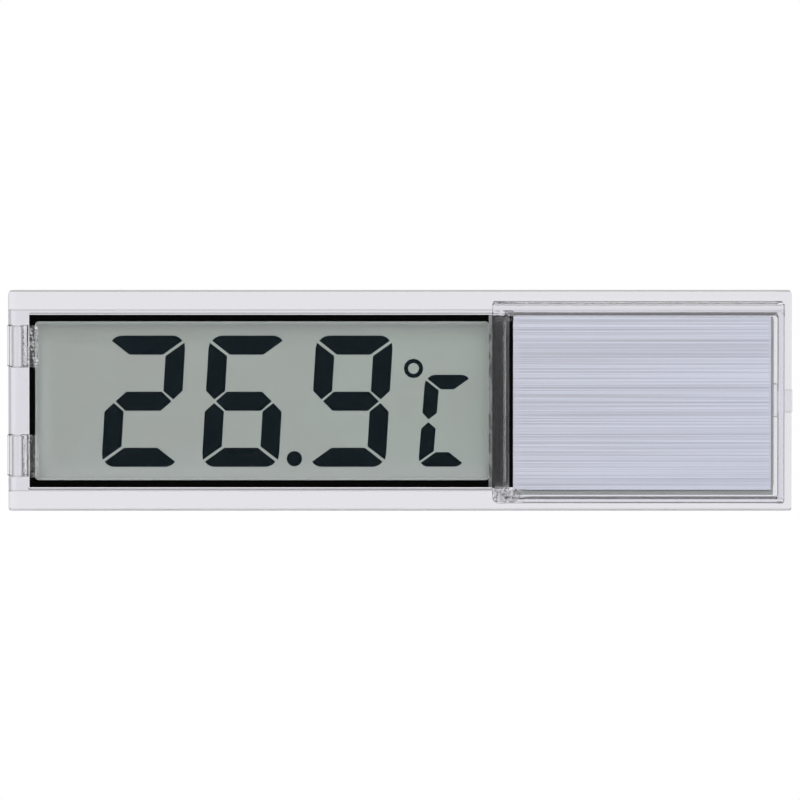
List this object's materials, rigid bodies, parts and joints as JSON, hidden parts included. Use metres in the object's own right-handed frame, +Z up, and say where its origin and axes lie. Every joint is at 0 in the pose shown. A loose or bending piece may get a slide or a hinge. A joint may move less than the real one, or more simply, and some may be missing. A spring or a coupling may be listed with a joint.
{
  "type": "digital aquarium thermometer",
  "caption": "Clear stick-on thermometer: a numeric display beside a raised battery pod, in a case that hooks and snaps onto a back cover taped to the tank.",
  "frame": {"origin": "centre of the middle adhesive pad's back face, where it meets the aquarium glass", "axes": "+X along the thermometer, from the display to the battery pod; +Y out of the back, towards the water; +Z up as the digits read"},
  "size_m": [0.1105, 0.0093, 0.0308],
  "materials": {
    "clear_plastic": "clear moulded polystyrene, polished",
    "foam_tape": "white double-sided foam tape, matte",
    "bezel_black": "black printed border, satin",
    "polarizer_film": "greenish grey film, smooth",
    "display_glass": "thin clear float glass",
    "liquid_crystal": "dark navy segments on a clear film",
    "reflector_film": "silvery grey reflective film, satin",
    "zebra_rubber": "pink silicone with a striped carbon core",
    "board_laminate": "green solder mask, glossy",
    "black_epoxy": "cured black epoxy, smooth",
    "resistor_ceramic": "black body with tinned ends",
    "capacitor_ceramic": "tan body with tinned ends",
    "tinned_wire": "tinned wire, bright",
    "white_plastic": "white moulded plastic, fine texture",
    "cell_steel": "nickel-plated steel, bright",
    "cell_seal": "blue nylon gasket",
    "contact_metal": "plated phosphor bronze, satin",
    "silver_foil": "brushed along its length, satin"
  },
  "bodies": {
    "back_cover": {"back_cover": "clear_plastic", "adhesive_pad_left": "foam_tape", "adhesive_pad_centre": "foam_tape", "adhesive_pad_right": "foam_tape", "bridge_contact": "contact_metal"},
    "front_case": {"front_case": "clear_plastic", "display_bezel": "bezel_black", "front_polarizer": "polarizer_film", "front_glass": "display_glass", "segment_layer": "liquid_crystal", "rear_glass": "display_glass", "reflector": "reflector_film", "zebra_strip": "zebra_rubber", "circuit_board": "board_laminate", "chip_blob": "black_epoxy", "reference_resistor": "resistor_ceramic", "series_resistor": "resistor_ceramic", "supply_capacitor": "capacitor_ceramic", "timing_capacitor": "capacitor_ceramic", "thermistor_bead": "black_epoxy", "thermistor_wire_upper": "tinned_wire", "thermistor_wire_lower": "tinned_wire", "battery_tray": "white_plastic", "left_cell_can": "cell_steel", "left_cell_seal": "cell_seal", "left_cell_cap": "cell_steel", "right_cell_can": "cell_steel", "right_cell_seal": "cell_seal", "right_cell_cap": "cell_steel", "negative_contact": "contact_metal", "positive_contact": "contact_metal", "silver_panel": "silver_foil"}
  },
  "joints": [
    {"name": "case_hinge", "type": "hinge", "parent": "back_cover", "child": "front_case", "pos_m": [-0.0537, -0.00375, 0], "axis": [0, 0, -1], "range_deg": [0, 95]}
  ]
}
